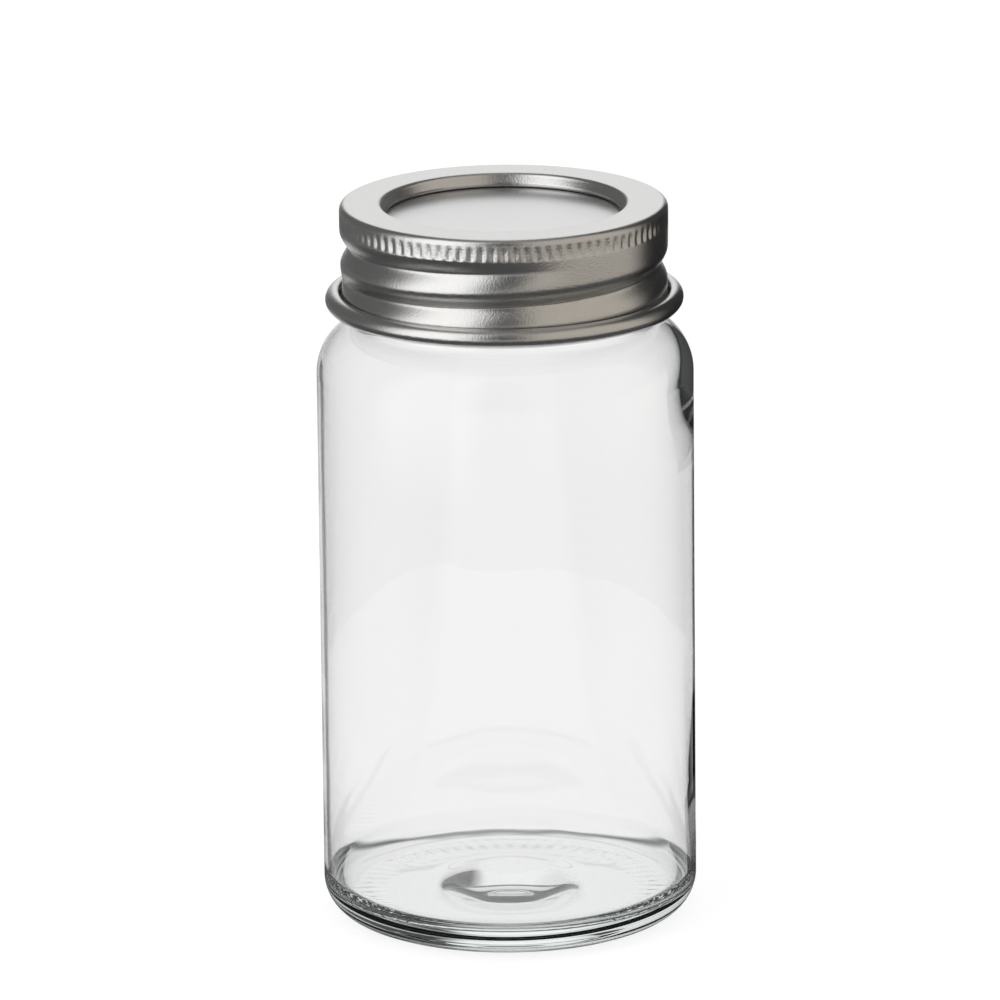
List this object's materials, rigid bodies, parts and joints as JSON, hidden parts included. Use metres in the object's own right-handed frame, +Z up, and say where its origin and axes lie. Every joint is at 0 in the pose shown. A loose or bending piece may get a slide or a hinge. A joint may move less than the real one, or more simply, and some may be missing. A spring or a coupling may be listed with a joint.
{
  "type": "spice jar",
  "caption": "Clear glass storage jar with a rounded shoulder and heel, closed by a knurled steel screw ring over a recessed steel disc and a sealing ring.",
  "frame": {"origin": "centre of the jar's base, on the plane of its bearing ring", "axes": "+Z up along the jar's axis, -Y towards the front of the picture"},
  "size_m": [0.054, 0.054, 0.105],
  "materials": {
    "clear_glass": "clear, polished, faint grey-green in thick sections",
    "satin_steel": "satin, fine even grain",
    "disc_steel": "smooth satin",
    "seal_rubber": "matte"
  },
  "bodies": {
    "jar": {"glass_jar": "clear_glass"},
    "lid_seal": {"lid_disc": "disc_steel", "sealing_ring": "seal_rubber"},
    "lid_ring": {"screw_ring": "satin_steel"}
  },
  "joints": [
    {"name": "lid_rise", "type": "slide", "parent": "jar", "child": "lid_seal", "axis": [0, 0, 1], "range_m": [0, 0.015]},
    {"name": "lid_turn", "type": "hinge", "parent": "lid_seal", "child": "lid_ring", "pos_m": [0, 0, 0.0976], "axis": [0, 0, 1], "range_deg": [0, 1080]}
  ],
  "couplings": [
    {"joint": "lid_rise", "follows": "lid_turn", "m_per_rad": 0.00079577}
  ]
}
